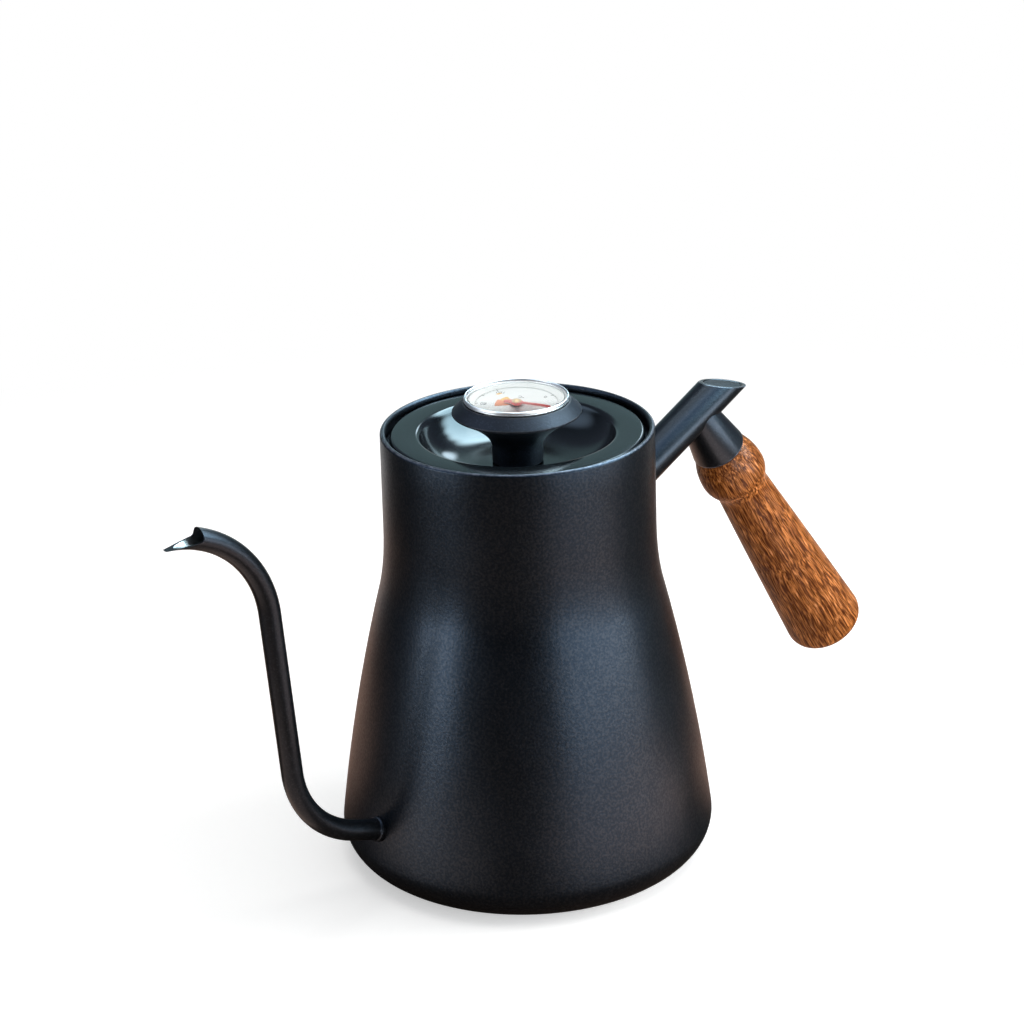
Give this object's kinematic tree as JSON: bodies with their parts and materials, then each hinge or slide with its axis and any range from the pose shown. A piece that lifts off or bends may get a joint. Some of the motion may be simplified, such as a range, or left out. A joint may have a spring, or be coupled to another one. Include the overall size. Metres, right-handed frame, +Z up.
{
  "type": "gooseneck kettle",
  "caption": "Waisted black stove kettle with a slim gooseneck spout, a slanted wooden grip and a lift-off lid carrying a dial thermometer.",
  "frame": {"origin": "centre of the flat base, on the surface the kettle stands on", "axes": "+Z up, spout along -X, handle along +X"},
  "size_m": [0.2801, 0.1248, 0.1586],
  "materials": {
    "coated_body": "fine matte black coating",
    "coated_tube": "satin black coating",
    "coated_lid": "satin black coating",
    "bare_steel": "bare stainless steel",
    "bright_steel": "polished steel",
    "brass": "plain brass",
    "wood": "lacquered turned wood",
    "knob_plastic": "fine matte texture",
    "silicone": "matte",
    "dial_white": "white print ground",
    "pointer_red": "red lacquer",
    "lens": "clear"
  },
  "bodies": {
    "kettle": {"body_shell": "coated_body", "base_plate": "bare_steel", "lid_seat_ring": "bare_steel", "spout_tube": "coated_tube", "handle_arm": "coated_tube", "arm_end_cap": "coated_tube", "handle_socket": "coated_tube", "grip_stud": "bare_steel", "grip_insert": "brass", "wood_grip": "wood"},
    "lid": {"lid_plate": "coated_lid", "lid_skirt": "bare_steel", "lid_knob": "knob_plastic", "knob_bolt": "bare_steel", "knob_washer": "silicone", "knob_nut": "bare_steel", "thermometer_case": "bare_steel", "dial_plate": "dial_white", "dial_spacer": "dial_white", "dial_lens": "lens", "bezel_ring": "bright_steel", "probe_stem": "bare_steel", "arbor_bush": "brass", "bimetal_coil": "brass"},
    "needle": {"pointer": "pointer_red", "pointer_hub": "brass", "pointer_arbor": "bare_steel"}
  },
  "joints": [
    {"name": "lid_lift", "type": "slide", "parent": "kettle", "child": "lid", "axis": [0, 0, 1], "range_m": [0, 0.12]},
    {"name": "pointer_turn", "type": "hinge", "parent": "lid", "child": "needle", "pos_m": [0, 0, 0.156], "axis": [0, 0, 1], "range_deg": [-225, 45], "stiffness_Nm_per_rad": 0.00002}
  ]
}
